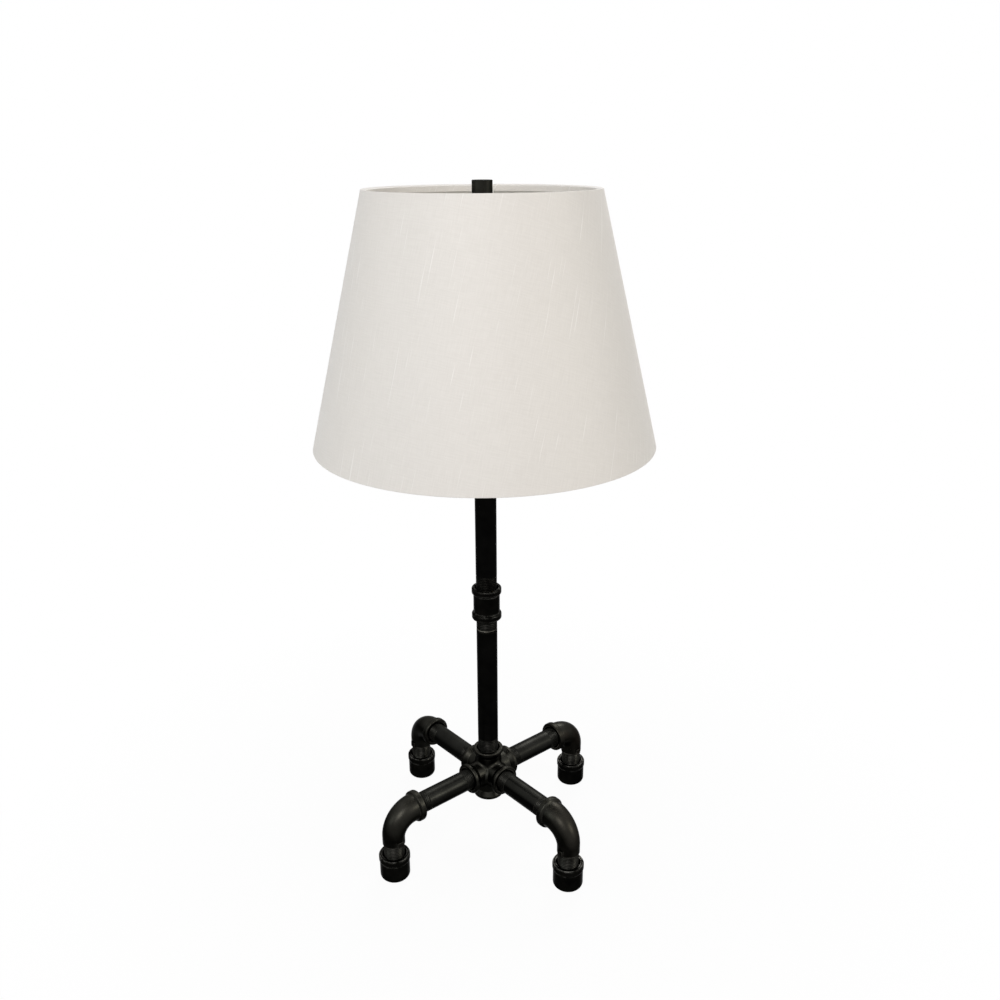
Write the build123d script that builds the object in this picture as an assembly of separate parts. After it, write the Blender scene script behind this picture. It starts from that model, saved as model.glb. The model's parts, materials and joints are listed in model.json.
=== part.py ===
from build123d import *
import os
from math import acos, atan2, cos, hypot, pi, sin, sqrt

# Table lamp put together from half-inch iron pipe and cast fittings, under a tapered fabric shade.
# Millimetres, +Z up. The origin is on the floor under the post. The legs lie on the diagonals,
# and the front, where the switch knob points, faces -Y.

# Pipe and its threaded ends
pipe_od = 21.3
pipe_wall = 2.8
thread_depth = 0.45
thread_length = 21.0
thread_chamfer = 0.8
thread_clearance = 0.1

# Cast fittings
fitting_wall = 3.1
bead_length = 6.0
bead_slope = 1.4
bead_round = 1.7
mouth_flare = 2.3
mouth_depth = 3.5

# Centre cross
cross_reach = 28.5
cross_bead_od = 32.0
cross_bead_length = 3.4
cross_bead_slope = 4.6
cross_socket_depth = 13.5
cross_crease = 3.5
cross_seam_angle = 30.0

# Legs
leg_count = 4
leg_angle = 45.0
leg_pipe_length = 88.9
leg_engaged = 12.2

# Leg elbows
elbow_reach = 32.0
elbow_bead_od = 32.0
elbow_bend = 23.0
elbow_wall = 3.5
elbow_tail_wall = 1.3
elbow_bore = 13.0
elbow_socket_depth = 14.0
elbow_drop = 55.0
elbow_male_length = 25.0
elbow_pad_length = 6.0
elbow_pad_width = 7.0
elbow_pad_height = 1.0

# Pipe caps, under the legs and on the post
cap_height = 28.0
cap_wall = 4.9
cap_floor = 5.0
cap_corner = 5.0
cap_bead_od = 31.8
cap_engaged = 12.0

# Post
lower_post_length = 169.7
upper_post_length = 160.0
post_engaged = 8.0
coupling_length = 34.5
coupling_bead_od = 30.2

# Cord outlet in the cross's lower mouth
bushing_length = 12.0
bushing_hole = 12.0
grommet_wall = 2.2
grommet_flange_od = 17.0
grommet_flange = 1.8
grommet_length = 14.0
grommet_clearance = 0.1

# Lamp nipple and its lock nuts
nipple_od = 9.7
nipple_bore = 6.6
nipple_clearance = 0.2
nipple_tail = 2.0
nipple_engaged = 8.0
nut_width = 14.0
nut_thickness = 3.0

# Harp saddle
saddle_thickness = 1.8
saddle_width = 13.0
saddle_arm_height = 10.0
saddle_bend = 4.0
saddle_seat_height = 2.0
saddle_pin_length = 9.0

# Harp
harp_height = 200.1
harp_wire = 4.0
harp_foot_span = 57.0
harp_width = 104.0
harp_foot_length = 31.0
harp_foot_bend = 30.0
harp_flare_bend = 40.0
harp_flare_share = 0.42
harp_top_bend_share = 0.88
harp_joint_gap = 0.3

# Harp ferrules
ferrule_od = 7.4
ferrule_length = 18.0
ferrule_clearance = 0.1
ferrule_lip = 0.8
ferrule_lip_height = 2.4

# Harp stud, whose seat carries the shade
stud_od = 6.3
stud_thread_depth = 0.25
stud_length = 13.0
stud_seat_od = 16.0
stud_seat_height = 1.6
stud_boss_od = 10.0
stud_boss_wall = 1.4
stud_wire_clearance = 0.05

# Socket
socket_cap_wall = 0.8
socket_neck_wall = 2.4
socket_neck_height = 9.0
socket_dome_height = 11.0
socket_rim_height = 7.0
socket_fit = 0.1
set_screw_od = 3.6
set_screw_head_od = 5.2
set_screw_head = 1.6
shell_od = 33.0
shell_wall = 0.6
shell_length = 48.0
shell_overlap = 5.5
shell_lip = 0.9
sleeve_wall = 0.8
sleeve_reveal = 1.5
body_height = 24.0
terminal_flat = 3.4
terminal_flat_height = 14.0
terminal_head_od = 6.0
terminal_head = 2.2
terminal_shank_od = 3.2
terminal_shank = 6.0
screw_shell_wall = 0.5
screw_shell_length = 22.0
screw_shell_hole = 15.0
contact_length = 9.0
contact_width = 5.0
contact_thickness = 0.6
contact_height = 3.2

# Switch
stem_od = 4.0
stem_rise = 5.0
stem_start = 4.0
stem_clearance = 0.08
stem_hole_gap = 0.6
knob_gap = 6.0
knob_od = 12.5
knob_length = 14.0
knob_taper = 0.8
knob_round = 1.6
knob_hole_depth = 9.0
knob_flutes = 12
knob_flute_radius = 1.1
knob_flute_depth = 0.5
knob_collar_od = 8.0
knob_collar = 2.0

# Bulb
bulb_od = 60.0
bulb_length = 106.0
bulb_glass_wall = 1.0
bulb_base_od = 26.2
bulb_base_length = 21.0
bulb_base_wall = 0.5
bulb_neck_depth = 6.0
bulb_clearance = 0.3
bulb_insulator_height = 4.0
bulb_insulator_od = 13.0
bulb_tip_od = 8.0
bulb_tip_height = 1.4

# Shade
shade_top_od = 212.6
shade_bottom_od = 323.8
shade_height = 230.0
fabric_thickness = 0.6
liner_thickness = 1.0
turn_in = 5.0
ring_wire = 3.0
ring_gap = 0.1

# Spider that hangs the shade on the harp
spider_drop = 14.6
spider_arms = 3
spider_arm_angle = 90.0
spider_wire = 3.0
spider_bend = 9.0
spider_rise_run = 14.0
hub_od = 30.0
hub_hole = 11.0
hub_thickness = 2.0
hub_weld = 2.5

# Finial
finial_od = 18.4
finial_height = 20.0
finial_edge = 0.6
insert_od = 11.0
insert_length = 13.5
insert_clearance = 0.08

# How far every cut runs past the face it opens
cut_overrun = 1.0

# Radii that several pieces share
pipe_r = pipe_od / 2
bore_r = pipe_r - pipe_wall
thread_r = pipe_r - thread_depth
socket_r = thread_r + thread_clearance
mouth_r = socket_r + mouth_flare
body_r = socket_r + fitting_wall
wire_r = harp_wire / 2

# Heights, from the floor up
leg_z = cap_height - cap_engaged + elbow_drop
leg_reach = cross_reach + leg_pipe_length - 2 * leg_engaged + elbow_reach
lower_post_z = leg_z + cross_reach - post_engaged
coupling_z = lower_post_z + lower_post_length - post_engaged
upper_post_z = coupling_z + coupling_length - post_engaged
post_cap_z = upper_post_z + upper_post_length - cap_engaged
platform_z = post_cap_z + cap_height
socket_z = platform_z + saddle_thickness + nut_thickness
socket_rim_z = socket_z + socket_neck_height + socket_dome_height
shell_z = socket_rim_z + socket_rim_height - shell_overlap
stem_z = socket_rim_z + socket_rim_height + stem_rise
body_top_z = socket_rim_z + body_height
bulb_z = body_top_z + contact_height
ferrule_z = platform_z + saddle_arm_height + saddle_seat_height
harp_foot_z = ferrule_z + saddle_pin_length + harp_joint_gap
hub_z = platform_z + harp_height
harp_top_z = hub_z - stud_seat_height - stud_boss_wall - wire_r
finial_z = hub_z + hub_thickness
shade_top_z = hub_z + spider_drop

# The shade's wall, as seen in its half section
shade_run = (shade_bottom_od - shade_top_od) / 2
shade_slant = hypot(shade_run, shade_height)
wall_thickness = fabric_thickness + liner_thickness
ring_r = ring_wire / 2
stand_up = (Align.CENTER, Align.CENTER, Align.MIN)


def limited(radius, *walls):
    """A rounding no larger than the walls beside it allow."""
    most_share = 0.45
    return min(radius, most_share * min(walls))


def turned(points, rounds=()):
    """Solid turned about Z from (radius, height) points, with (point number, radius) roundings."""
    corners = [Vector(radius, 0, height) for radius, height in points]
    face = make_face(Polyline(*corners, close=True))
    for number, radius in rounds:
        corner = face.vertices().sort_by_distance(corners[number])[0]
        face = fillet(corner, radius)
    return revolve(face, Axis.Z)


def rod(diameter, length):
    """Round bar that stands on Z zero."""
    return Cylinder(diameter / 2, length, align=stand_up)


def along(angle, shape):
    """Lay a shape that stands on Z out along the floor direction of an angle."""
    return Rot(0, 0, angle) * (Rot(0, 90, 0) * shape)


def leg_angles():
    """Floor directions of the legs."""
    return [leg_angle + 360 / leg_count * number for number in range(leg_count)]


def bead(bead_od, barrel_r, length, slope):
    """Rounded bead of a fitting, with the mouth's face at Z zero and the barrel below."""
    r = bead_od / 2
    edge = limited(bead_round, 2 * (r - mouth_r), length)
    return turned(
        [(socket_r, 0), (r, 0), (r, -length), (barrel_r, -length - slope), (socket_r, -length - slope)],
        [(1, edge), (2, edge)],
    )


def socket_cut(depth):
    """Threaded hole with a flared mouth, for a fitting whose face is at Z zero."""
    return turned(
        [
            (0, cut_overrun),
            (mouth_r, cut_overrun),
            (mouth_r, 0),
            (socket_r, -mouth_depth),
            (socket_r, -depth),
            (0, -depth),
        ]
    )


def pipe(length):
    """Pipe nipple that stands on Z zero, turned down to the thread's mean size at both ends."""
    ramp = thread_length + thread_depth
    return turned(
        [
            (bore_r, 0),
            (thread_r - thread_chamfer, 0),
            (thread_r, thread_chamfer),
            (thread_r, thread_length),
            (pipe_r, ramp),
            (pipe_r, length - ramp),
            (thread_r, length - thread_length),
            (thread_r, length - thread_chamfer),
            (thread_r - thread_chamfer, length),
            (bore_r, length),
        ]
    )


# Base
def centre_cross():
    """Six-way cross: four legs, the post above and the cord outlet below."""
    up = Rot(0, 0, 0)
    outward = [Rot(0, 0, angle) * Rot(0, 90, 0) for angle in leg_angles()]
    ways = [up, Rot(180, 0, 0)] + outward
    face = Pos(0, 0, cross_reach)
    mouth_bead = face * bead(cross_bead_od, body_r, cross_bead_length, cross_bead_slope)
    hollow = face * socket_cut(cross_socket_depth) + rod(2 * bore_r, cross_reach)
    # Barrels drawn too large by the crease's radius and shrunk again leave the creases rounded.
    # Their seams are turned away from the creases.
    barrel = Cylinder(body_r + cross_crease, 2 * (cross_reach + cross_crease))
    barrel = Rot(0, 0, cross_seam_angle) * barrel
    body = up * barrel
    for way in outward[: leg_count // 2]:
        body += way * barrel
    body = offset(body, -cross_crease, kind=Kind.ARC)
    for way in ways:
        body += way * mouth_bead
    for way in ways:
        body -= way * hollow
    return Pos(0, 0, leg_z) * body


def leg_pipe(angle):
    """Pipe from the cross to an elbow."""
    start = Pos(0, 0, cross_reach - leg_engaged)
    return Pos(0, 0, leg_z) * along(angle, start * pipe(leg_pipe_length))


def leg_elbow(angle):
    """Street elbow that turns a leg down: its mouth takes the leg pipe, its male end the foot cap."""
    barrel_r = socket_r + elbow_wall
    tail_r = thread_r + elbow_tail_wall
    tail_end = elbow_drop - elbow_male_length
    sideways = (0, 1, 0)
    middle = elbow_bend * (sqrt(1 / 2) - 1)
    bend = ThreePointArc((-elbow_bend, 0, 0), (middle, 0, middle), (0, 0, -elbow_bend))
    wide_end = Plane((-elbow_bend, 0, 0), x_dir=sideways, z_dir=(1, 0, 0))
    narrow_end = Plane((0, 0, -elbow_bend), x_dir=sideways, z_dir=(0, 0, -1))
    body = sweep([wide_end * Circle(barrel_r), narrow_end * Circle(tail_r)], path=bend, multisection=True)
    hollow = sweep(wide_end * Circle(elbow_bore / 2), path=bend)
    mouth = Pos(-elbow_reach, 0, 0) * Rot(0, -90, 0)
    body += mouth * Pos(0, 0, elbow_bend - elbow_reach) * rod(2 * barrel_r, elbow_reach - elbow_bend)
    body += mouth * bead(elbow_bead_od, barrel_r, bead_length, bead_slope)
    body += Pos(0, 0, -tail_end) * rod(2 * tail_r, tail_end - elbow_bend)
    body += Pos(0, 0, -elbow_drop) * male_end(elbow_male_length)
    for side in (-90, 90):
        body += Rot(0, 0, side) * elbow_pad(tail_r, tail_end)
    hollow += Pos(0, 0, -elbow_drop - cut_overrun) * rod(elbow_bore, elbow_drop + cut_overrun - elbow_bend)
    hollow += mouth * Pos(0, 0, elbow_bend - elbow_reach) * rod(elbow_bore, elbow_reach - elbow_bend)
    body -= hollow + mouth * socket_cut(elbow_socket_depth)
    return Rot(0, 0, angle) * (Pos(leg_reach, 0, leg_z) * body)


def male_end(length):
    """Threaded spigot that stands on Z zero, with its lead-in at the bottom."""
    return turned(
        [(0, 0), (thread_r - thread_chamfer, 0), (thread_r, thread_chamfer), (thread_r, length), (0, length)]
    )


def elbow_pad(tail_r, tail_end):
    """Raised casting pad on one side of an elbow, just above its thread."""
    reach = tail_r + elbow_pad_height
    pad = Box(reach, elbow_pad_width, elbow_pad_length, align=(Align.MIN, Align.CENTER, Align.MIN))
    outer = Pos(0, 0, -tail_end) * rod(2 * reach, elbow_pad_length)
    return Pos(0, 0, -tail_end) * pad & outer


def pipe_cap():
    """Pipe cap with its closed end on Z zero and its mouth up."""
    r = socket_r + cap_wall
    body = turned(
        [(0, 0), (r, 0), (r, cap_height), (0, cap_height)],
        [(1, limited(cap_corner, 2 * r))],
    )
    mouth = Pos(0, 0, cap_height)
    body += mouth * bead(cap_bead_od, r, bead_length, bead_slope)
    return body - mouth * socket_cut(cap_height - cap_floor)


def foot_cap(angle):
    """Cap under an elbow, on which the lamp stands."""
    return Rot(0, 0, angle) * (Pos(leg_reach, 0, 0) * pipe_cap())


def outlet_bushing():
    """Threaded bushing in the cross's lower mouth."""
    ring = turned(
        [
            (bushing_hole / 2, 0),
            (thread_r, 0),
            (thread_r, bushing_length - thread_chamfer),
            (thread_r - thread_chamfer, bushing_length),
            (bushing_hole / 2, bushing_length),
        ]
    )
    return Pos(0, 0, leg_z - cross_reach) * ring


def cord_grommet():
    """Flanged grommet in the bushing, through which the cord comes out."""
    sleeve_r = bushing_hole / 2 - grommet_clearance
    inner_r = sleeve_r - grommet_wall
    flange_r = grommet_flange_od / 2
    edge = limited(grommet_flange, grommet_flange)
    ring = turned(
        [
            (inner_r, -grommet_flange),
            (flange_r, -grommet_flange),
            (flange_r, 0),
            (sleeve_r, 0),
            (sleeve_r, grommet_length),
            (inner_r, grommet_length),
        ],
        [(1, edge)],
    )
    return Pos(0, 0, leg_z - cross_reach) * ring


# Post
def lower_post_pipe():
    """Pipe from the cross to the coupling."""
    return Pos(0, 0, lower_post_z) * pipe(lower_post_length)


def post_coupling():
    """Beaded coupling between the two post pipes."""
    mouth = bead(coupling_bead_od, body_r, bead_length, bead_slope)
    body = rod(2 * body_r, coupling_length)
    for end in (Pos(0, 0, coupling_length), Rot(180, 0, 0)):
        body += end * mouth
    for end in (Pos(0, 0, coupling_length), Rot(180, 0, 0)):
        body -= end * socket_cut(coupling_length)
    return Pos(0, 0, coupling_z) * body


def upper_post_pipe():
    """Pipe from the coupling up into the shade."""
    return Pos(0, 0, upper_post_z) * pipe(upper_post_length)


def post_top_cap():
    """Cap that closes the post, drilled for the lamp nipple."""
    drill = rod(nipple_od + 2 * nipple_clearance, cap_height)
    return Pos(0, 0, platform_z) * Rot(180, 0, 0) * (pipe_cap() - drill)


# Nipple, saddle and harp
def lamp_nipple():
    """Hollow threaded nipple that ties the socket and the saddle to the post's cap."""
    start = platform_z - cap_floor - nut_thickness - nipple_tail
    end = socket_z + nipple_engaged
    tube = rod(nipple_od, end - start) - rod(nipple_bore, end - start)
    return Pos(0, 0, start) * tube


def lock_nuts():
    """Hex nuts on the nipple: one inside the cap, one on the saddle."""
    hexagon = RegularPolygon(nut_width / 2, 6, major_radius=False)
    nut = extrude(hexagon - Circle(nipple_od / 2 + thread_clearance), nut_thickness)
    inside = Pos(0, 0, platform_z - cap_floor - nut_thickness) * nut
    above = Pos(0, 0, platform_z + saddle_thickness) * nut
    return Compound(children=[inside, above])


def harp_saddle():
    """Bent strap under the socket, with a seat and a pin on each arm for the harp."""
    half = harp_foot_span / 2
    out = half + saddle_thickness / 2
    inner = half - saddle_thickness / 2
    top = saddle_arm_height
    floor = saddle_thickness
    corners = [(-out, top), (-out, 0), (out, 0), (out, top)]
    corners += [(inner, top), (inner, floor), (-inner, floor), (-inner, top)]
    profile = make_face(Polyline(*[Vector(x, 0, z) for x, z in corners], close=True))
    for number, radius in ((1, saddle_bend + saddle_thickness), (2, saddle_bend + saddle_thickness),
                           (5, saddle_bend), (6, saddle_bend)):
        x, z = corners[number]
        profile = fillet(profile.vertices().sort_by_distance(Vector(x, 0, z))[0], radius)
    strap = extrude(profile, saddle_width / 2, both=True)
    strap -= rod(nipple_od + 2 * nipple_clearance, saddle_thickness)
    for side in (-half, half):
        strap += Pos(side, 0, top) * rod(ferrule_od, saddle_seat_height)
        strap += Pos(side, 0, top) * rod(harp_wire, saddle_seat_height + saddle_pin_length)
    return Pos(0, 0, platform_z) * strap


def harp_path():
    """Centre line of the harp's wire, from the left foot over the top to the right foot."""
    foot = harp_foot_span / 2
    wide = harp_width / 2
    bend_z = harp_foot_z + harp_foot_length
    flare_z = bend_z + harp_flare_share * (harp_top_z - bend_z)
    right = [(wide, harp_top_z), (wide, flare_z), (foot, bend_z), (foot, harp_foot_z)]
    left = [(-x, z) for x, z in reversed(right)]
    radii = [harp_foot_bend, harp_flare_bend, harp_top_bend_share * wide]
    spots = [Vector(x, 0, z) for x, z in left + right]
    return FilletPolyline(*spots, radius=radii + radii[::-1])


def harp():
    """Wire harp that carries the shade round the bulb."""
    path = harp_path()
    return sweep(Plane(path @ 0, z_dir=path % 0) * Circle(wire_r), path=path)


def harp_ferrule(side):
    """Sleeve that locks a harp foot to its saddle pin."""
    bore = wire_r + ferrule_clearance
    r = ferrule_od / 2
    lip_z = ferrule_length - ferrule_lip_height
    sleeve = turned(
        [
            (bore, 0),
            (r, 0),
            (r, lip_z),
            (r + ferrule_lip, lip_z + ferrule_lip),
            (r + ferrule_lip, ferrule_length),
            (bore, ferrule_length),
        ]
    )
    return Pos(side * harp_foot_span / 2, 0, ferrule_z) * sleeve


def harp_stud():
    """Stud on top of the harp: boss round the wire, seat for the shade, threaded pin for the finial."""
    boss_r = stud_boss_od / 2
    bottom = -wire_r - stud_boss_wall
    seat_top = hub_z - harp_top_z
    seat_z = seat_top - stud_seat_height
    pin_r = stud_od / 2 - stud_thread_depth
    body = turned(
        [
            (0, bottom),
            (boss_r, bottom),
            (boss_r, seat_z),
            (stud_seat_od / 2, seat_z),
            (stud_seat_od / 2, seat_top),
            (pin_r, seat_top),
            (pin_r, seat_top + stud_length),
            (0, seat_top + stud_length),
        ]
    )
    wire_hole = Rot(0, 90, 0) * Cylinder(wire_r + stud_wire_clearance, 2 * stud_boss_od)
    return Pos(0, 0, harp_top_z) * (body - wire_hole)


# Socket
def socket_cap():
    """Domed lower half of the socket, with its threaded neck."""
    neck_in = nipple_od / 2 + thread_clearance
    neck_out = neck_in + socket_neck_wall
    rim_in = shell_od / 2 + socket_fit
    rim_out = rim_in + socket_cap_wall
    dome_z = socket_neck_height
    rim_z = dome_z + socket_dome_height
    top = rim_z + socket_rim_height
    outer = [(neck_in, 0), (neck_out, 0), (neck_out, dome_z), (rim_out, rim_z), (rim_out, top)]
    inner = [(rim_in, top), (rim_in, rim_z), (neck_in, dome_z + socket_cap_wall)]
    bulge = limited(socket_dome_height, socket_dome_height, socket_rim_height)
    shell = turned(outer + inner, [(3, bulge), (6, bulge)])
    return Pos(0, 0, socket_z) * (shell - set_screw_way())


def set_screw_way():
    """Hole across the neck for its set screw."""
    reach = nipple_od / 2 + socket_neck_wall + cut_overrun
    return Pos(0, 0, socket_neck_height / 2) * (Rot(-90, 0, 0) * rod(set_screw_od, reach))


def socket_set_screw():
    """Screw through the neck that holds the cap on the nipple."""
    shank = nipple_od / 2 + thread_clearance
    face = shank + socket_neck_wall
    screw = Pos(0, 0, shank) * rod(set_screw_od - 2 * thread_clearance, face - shank)
    screw += Pos(0, 0, face) * rod(set_screw_head_od, set_screw_head)
    return Pos(0, 0, socket_z + socket_neck_height / 2) * (Rot(-90, 0, 0) * screw)


def stem_way(radius):
    """Round way from the socket's middle out to the front, at the switch stem's height."""
    return Pos(0, 0, stem_z) * (Rot(90, 0, 0) * rod(2 * radius, shell_od))


def socket_shell():
    """Upper tube of the socket, with a rolled lip."""
    r = shell_od / 2
    inner = r - shell_wall
    tube = turned(
        [
            (inner, 0),
            (r, 0),
            (r, shell_length - 2 * shell_lip),
            (r + shell_lip, shell_length - shell_lip),
            (r, shell_length),
            (inner, shell_length),
        ]
    )
    return Pos(0, 0, shell_z) * tube - stem_way(stem_od / 2 + stem_hole_gap)


def sleeve_radius():
    """Outside radius of the insulating sleeve."""
    return shell_od / 2 - shell_wall - socket_fit


def socket_sleeve():
    """Insulating sleeve between the shell and the socket's works."""
    r = sleeve_radius()
    length = shell_length - sleeve_reveal
    tube = rod(2 * r, length) - rod(2 * (r - sleeve_wall), length)
    return Pos(0, 0, shell_z) * tube - stem_way(stem_od / 2 + stem_hole_gap)


def works_radius():
    """Outside radius of the socket's body."""
    return sleeve_radius() - sleeve_wall - socket_fit


def terminal_z():
    """Height of the terminal screws above the body's foot."""
    return terminal_flat_height / 2


def socket_body():
    """Moulded body that holds the switch, with a flat for each terminal screw."""
    r = works_radius()
    body = rod(2 * r, body_height)
    flat = r - terminal_flat
    notch = Box(r, 2 * r, terminal_flat_height, align=(Align.MIN, Align.CENTER, Align.MIN))
    for side in (0, 180):
        body -= Rot(0, 0, side) * Pos(flat, 0, 0) * notch
        screw_hole = rod(terminal_shank_od + 2 * thread_clearance, terminal_shank + thread_clearance)
        start = Pos(flat - terminal_shank - thread_clearance, 0, terminal_z())
        body -= Rot(0, 0, side) * (start * Rot(0, 90, 0) * screw_hole)
    body = Pos(0, 0, socket_rim_z) * body
    return body - Pos(0, -stem_start + stem_clearance, 0) * stem_way(stem_od / 2 + stem_clearance)


def terminal_screws():
    """Two screws on the body's flats, where the wires are held."""
    face = works_radius() - terminal_flat
    screw = Pos(0, 0, face - terminal_shank) * rod(terminal_shank_od, terminal_shank)
    screw += Pos(0, 0, face) * rod(terminal_head_od, terminal_head)
    screws = [Pos(0, 0, socket_rim_z + terminal_z()) * along(side, screw) for side in (0, 180)]
    return Compound(children=screws)


def socket_screw_shell():
    """Metal cup that takes the bulb's base."""
    inner = bulb_base_od / 2 + bulb_clearance
    outer = inner + screw_shell_wall
    cup = rod(2 * outer, screw_shell_length)
    cup -= Pos(0, 0, screw_shell_wall) * rod(2 * inner, screw_shell_length)
    cup -= rod(screw_shell_hole, screw_shell_length)
    return Pos(0, 0, body_top_z) * cup


def centre_contact():
    """Folded spring strip in the bottom of the screw shell, which the bulb's tip presses on."""
    half = contact_length / 2
    t = contact_thickness
    h = contact_height
    corners = [(-half, 0), (half, 0), (half, h), (-half, h)]
    corners += [(-half, h - t), (half - t, h - t), (half - t, t), (-half, t)]
    profile = make_face(Polyline(*[Vector(x, 0, z) for x, z in corners], close=True))
    return Pos(0, 0, body_top_z) * extrude(profile, contact_width / 2, both=True)


# Switch
def switch_stem():
    """Shaft that turns the switch in the socket's body."""
    length = shell_od / 2 + knob_gap + knob_hole_depth - stem_start
    shaft = Rot(90, 0, 0) * rod(stem_od, length)
    return Pos(0, -stem_start, stem_z) * shaft


def switch_knob():
    """Fluted knob on the stem."""
    r = knob_od / 2
    front = r - knob_taper
    collar_r = knob_collar_od / 2
    collar = [(0, 0), (collar_r, 0), (collar_r, knob_collar)]
    grip = [(r, knob_collar), (front, knob_length), (0, knob_length)]
    body = turned(collar + grip, [(4, limited(knob_round, front))])
    for number in range(knob_flutes):
        out = r + knob_flute_radius - knob_flute_depth
        groove = Pos(out, 0, knob_collar) * rod(2 * knob_flute_radius, knob_length)
        body -= Rot(0, 0, 360 / knob_flutes * number) * groove
    body -= rod(stem_od + 2 * stem_clearance, knob_hole_depth)
    start = shell_od / 2 + knob_gap
    return Pos(0, -start, stem_z) * (Rot(90, 0, 0) * body)


# Bulb
def bulb_tip():
    """Contact tip of the bulb."""
    return Pos(0, 0, bulb_z) * rod(bulb_tip_od, bulb_tip_height)


def bulb_insulator():
    """Glass cone that keeps the tip apart from the screw base."""
    r = bulb_base_od / 2
    cone = turned(
        [
            (0, 0),
            (bulb_insulator_od / 2, 0),
            (r - bulb_base_wall, bulb_insulator_height),
            (0, bulb_insulator_height),
        ]
    )
    return Pos(0, 0, bulb_z + bulb_tip_height) * cone


def bulb_base_z():
    """Height of the lower edge of the bulb's screw base."""
    return bulb_z + bulb_tip_height + bulb_insulator_height


def bulb_base():
    """Metal screw base of the bulb."""
    r = bulb_base_od / 2
    cup = rod(2 * r, bulb_base_length)
    cup -= Pos(0, 0, bulb_base_wall) * rod(2 * (r - bulb_base_wall), bulb_base_length)
    return Pos(0, 0, bulb_base_z()) * cup


def globe(inset, foot_z):
    """Bulb form: a neck that widens in a straight taper to a round head, set in by a wall."""
    head_r = bulb_od / 2 - inset
    neck_r = bulb_base_od / 2 - bulb_base_wall - socket_fit - inset
    neck_z = bulb_base_z() + bulb_base_length
    head_z = bulb_z + bulb_length - bulb_od / 2
    neck_drop = head_z - neck_z
    touch = atan2(-neck_drop, neck_r) + acos(head_r / hypot(neck_r, neck_drop))

    def on_head(angle):
        return Vector(head_r * cos(angle), 0, head_z + head_r * sin(angle))

    foot = [Vector(0, 0, foot_z), Vector(neck_r, 0, foot_z), Vector(neck_r, 0, neck_z)]
    crown = Vector(0, 0, head_z + head_r)
    taper = Polyline(*foot, on_head(touch))
    head = ThreePointArc(on_head(touch), on_head((touch + pi / 2) / 2), crown)
    axis = Line(crown, foot[0])
    return revolve(make_face(taper.edges() + head.edges() + axis.edges()), Axis.Z)


def bulb_glass():
    """Glass globe, open at the foot that sits in the screw base."""
    foot_z = bulb_base_z() + bulb_base_length - bulb_neck_depth
    return globe(0, foot_z) - globe(bulb_glass_wall, foot_z - cut_overrun)


# Shade
def wall_point(down, depth):
    """(radius, height) of a point so far down the slant from the top edge, so deep inside the cloth."""
    run_share = shade_run / shade_slant
    rise_share = shade_height / shade_slant
    radius = shade_top_od / 2 + down * run_share - depth * rise_share
    height = shade_top_z - down * rise_share - depth * run_share
    return radius, height


def shade_fabric():
    """Cloth cover of the shade, turned in round the wire ring at both rims and notched for the spider."""
    t = fabric_thickness
    end = shade_slant
    inner = wall_thickness + ring_wire + 2 * ring_gap
    section = [
        (-t, 0),
        (end + t, 0),
        (end + t, inner + t),
        (end - turn_in, inner + t),
        (end - turn_in, inner),
        (end, inner),
        (end, t),
        (0, t),
        (0, inner),
        (turn_in, inner),
        (turn_in, inner + t),
        (-t, inner + t),
    ]
    points = [wall_point(down, depth) for down, depth in section]
    body = turned(points, [(number, t) for number in (0, 1, 2, 11)])
    for way in spider_spread(spider_arm(spider_wire / 2 + ring_gap)):
        body -= way
    return body


def shade_liner():
    """Stiff sheet that the cloth is bonded to."""
    corners = [
        (0, fabric_thickness),
        (shade_slant, fabric_thickness),
        (shade_slant, wall_thickness),
        (0, wall_thickness),
    ]
    return turned([wall_point(down, depth) for down, depth in corners])


def ring_place(edge, inward):
    """(radius, height) of the middle of a rim wire, beside the top or bottom edge of the wall."""
    return wall_point(edge + inward * (ring_r + ring_gap), wall_thickness + ring_gap + ring_r)


def rim_ring(edge, inward):
    """Wire ring inside a rim of the shade."""
    radius, height = ring_place(edge, inward)
    return revolve(Plane((radius, 0, height), z_dir=(0, 1, 0)) * Circle(ring_r), Axis.Z)


def spider_arm(radius):
    """One arm of the spider along +X: out level from the hub, then up to the top ring."""
    ring_x, ring_z = ring_place(0, 1)
    level = hub_z + hub_thickness - spider_wire / 2
    corner_x = ring_x - spider_rise_run
    climb = hypot(spider_rise_run, ring_z - level)
    reach_share = 1 - ring_r / 2 / climb
    end = (corner_x + reach_share * spider_rise_run, level + reach_share * (ring_z - level))
    spots = [(hub_od / 2 - hub_weld, level), (corner_x, level), end]
    path = FilletPolyline(*[Vector(x, 0, z) for x, z in spots], radius=spider_bend)
    return sweep(Plane(path @ 0, z_dir=path % 0) * Circle(radius), path=path)


def spider_spread(shape):
    """Copies of an arm's shape at every arm's place."""
    turns = [spider_arm_angle + 360 / spider_arms * number for number in range(spider_arms)]
    return [Rot(0, 0, turn) * shape for turn in turns]


def shade_spider():
    """Hub washer with three wire arms, which hangs the shade on the harp stud."""
    hub = rod(hub_od, hub_thickness) - rod(hub_hole, hub_thickness)
    body = Pos(0, 0, hub_z) * hub
    for arm in spider_spread(spider_arm(spider_wire / 2)):
        body += arm
    return body - rim_ring(0, 1)


# Finial
def finial():
    """Plain round finial that clamps the shade on the harp stud."""
    r = finial_od / 2
    hole = insert_od / 2 + insert_clearance
    top = insert_length + insert_clearance
    edge = limited(finial_edge, r)
    outside = [(hole, 0), (r, 0), (r, finial_height), (0, finial_height)]
    body = turned(outside + [(0, top), (hole, top)], [(2, edge)])
    return Pos(0, 0, finial_z) * body


def finial_insert():
    """Threaded bush inside the finial."""
    bush = rod(insert_od, insert_length) - rod(stud_od + 2 * insert_clearance, insert_length)
    return Pos(0, 0, finial_z) * bush


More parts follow.
